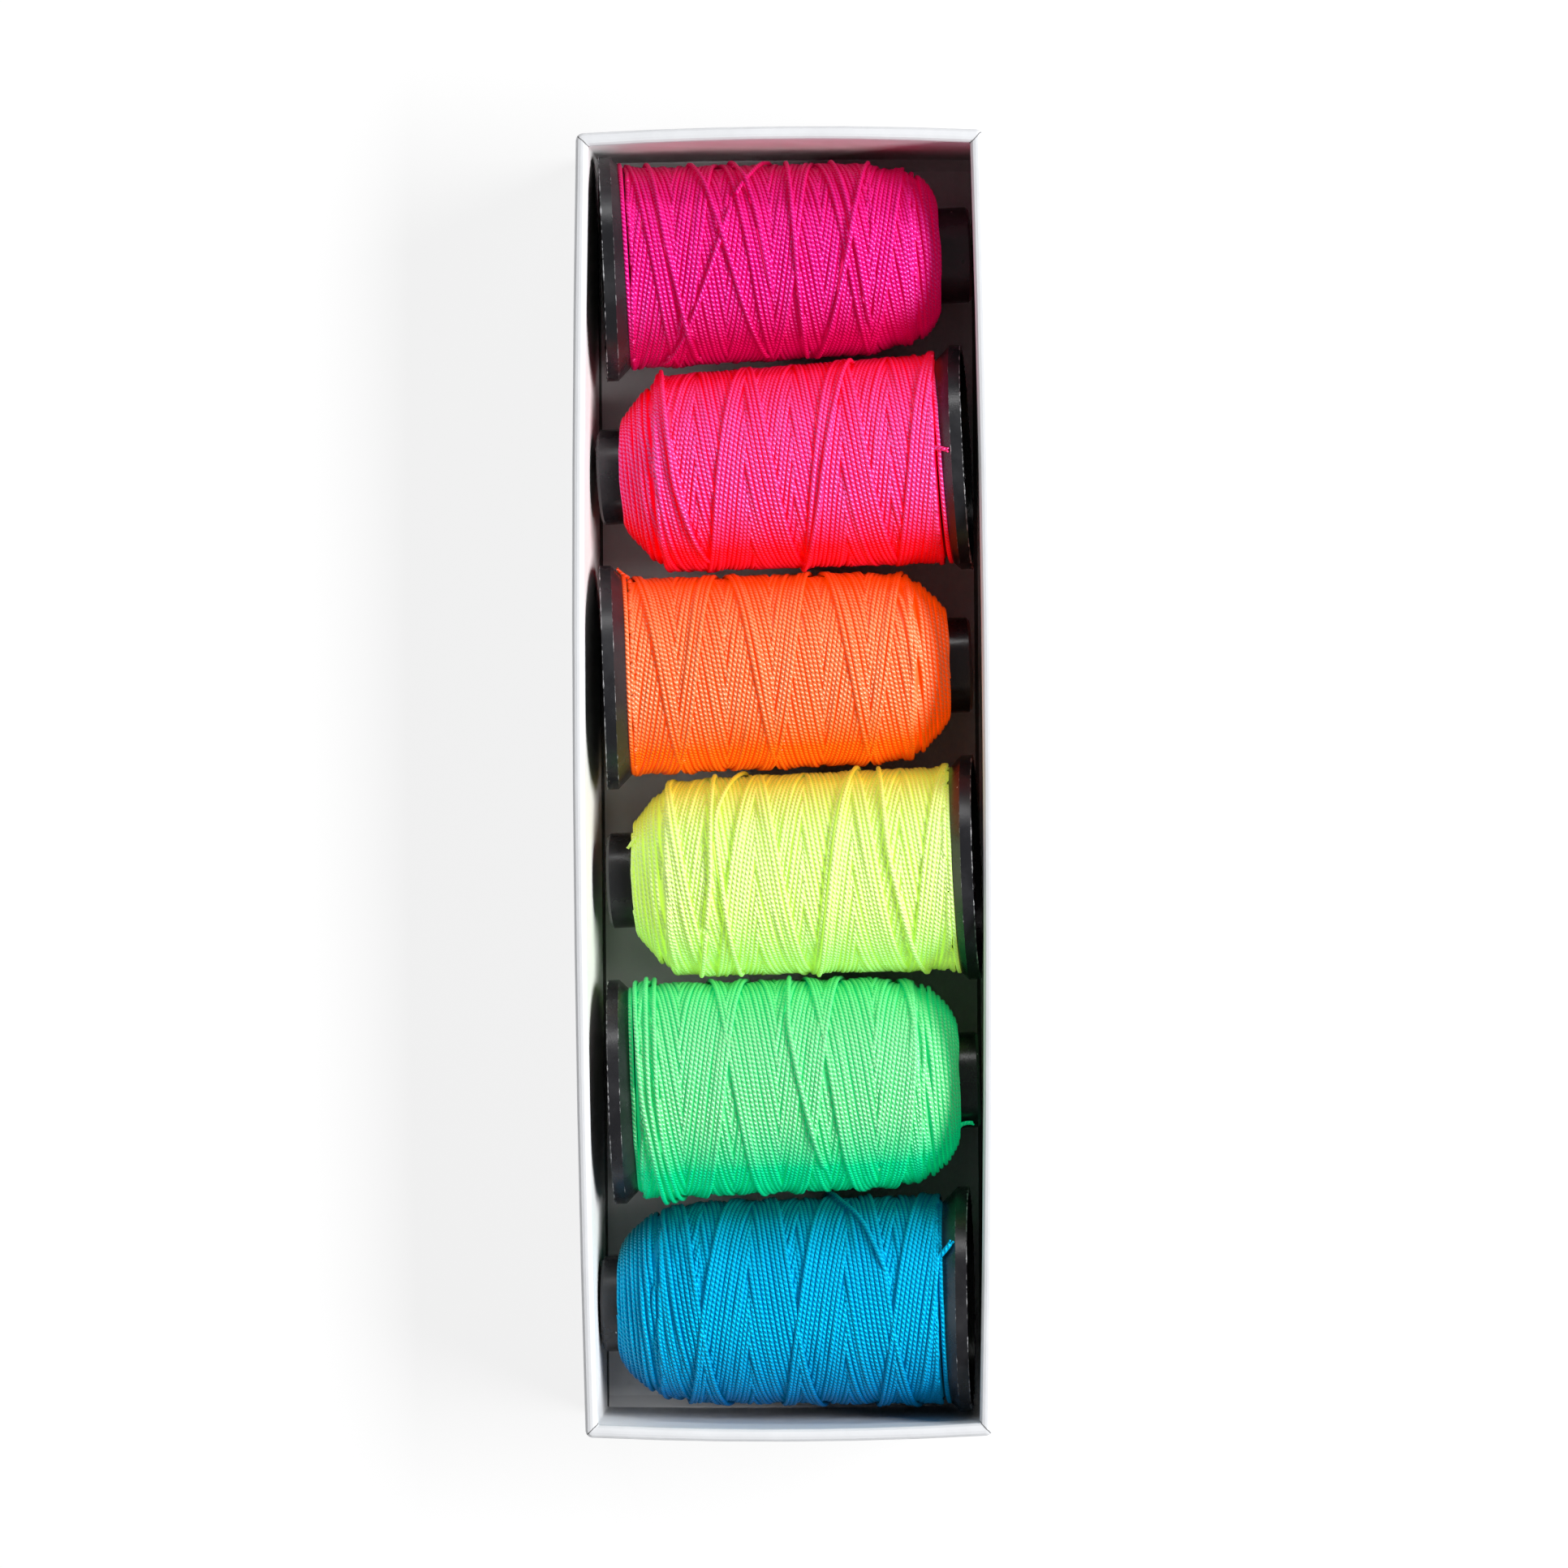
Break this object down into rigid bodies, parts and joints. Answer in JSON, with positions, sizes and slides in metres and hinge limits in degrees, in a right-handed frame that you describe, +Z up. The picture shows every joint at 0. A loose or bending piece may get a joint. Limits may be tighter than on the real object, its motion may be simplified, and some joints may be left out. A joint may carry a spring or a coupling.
{
  "type": "waxed thread spool set",
  "caption": "Open card tray holding a row of black spools of bright waxed thread, laid head to tail, each free to lift out.",
  "frame": {"origin": "centre of the tray's underside", "axes": "+X across the tray towards the magenta spool's nose, +Y along the tray towards the magenta spool, +Z up out of the tray's open top"},
  "size_m": [0.0884, 0.2746, 0.05],
  "materials": {
    "card": "matt white paper over folded card",
    "black_plastic": "satin injection moulding",
    "magenta_thread": "waxed twisted cord",
    "pink_thread": "waxed twisted cord",
    "orange_thread": "waxed twisted cord",
    "yellow_thread": "waxed twisted cord",
    "green_thread": "waxed twisted cord",
    "blue_thread": "waxed twisted cord"
  },
  "bodies": {
    "tray": {"tray": "card"},
    "magenta_spool": {"magenta_core": "black_plastic", "magenta_thread": "magenta_thread", "magenta_thread_end": "magenta_thread"},
    "pink_spool": {"pink_core": "black_plastic", "pink_thread": "pink_thread", "pink_thread_end": "pink_thread"},
    "orange_spool": {"orange_core": "black_plastic", "orange_thread": "orange_thread", "orange_thread_end": "orange_thread"},
    "yellow_spool": {"yellow_core": "black_plastic", "yellow_thread": "yellow_thread", "yellow_thread_end": "yellow_thread"},
    "green_spool": {"green_core": "black_plastic", "green_thread": "green_thread", "green_thread_end": "green_thread"},
    "blue_spool": {"blue_core": "black_plastic", "blue_thread": "blue_thread", "blue_thread_end": "blue_thread"}
  },
  "joints": [
    {"name": "magenta_lift", "type": "slide", "parent": "tray", "child": "magenta_spool", "axis": [0, 0, 1], "range_m": [0, 0.07]},
    {"name": "pink_lift", "type": "slide", "parent": "tray", "child": "pink_spool", "axis": [0, 0, 1], "range_m": [0, 0.07]},
    {"name": "orange_lift", "type": "slide", "parent": "tray", "child": "orange_spool", "axis": [0, 0, 1], "range_m": [0, 0.07]},
    {"name": "yellow_lift", "type": "slide", "parent": "tray", "child": "yellow_spool", "axis": [0, 0, 1], "range_m": [0, 0.07]},
    {"name": "green_lift", "type": "slide", "parent": "tray", "child": "green_spool", "axis": [0, 0, 1], "range_m": [0, 0.07]},
    {"name": "blue_lift", "type": "slide", "parent": "tray", "child": "blue_spool", "axis": [0, 0, 1], "range_m": [0, 0.07]}
  ]
}
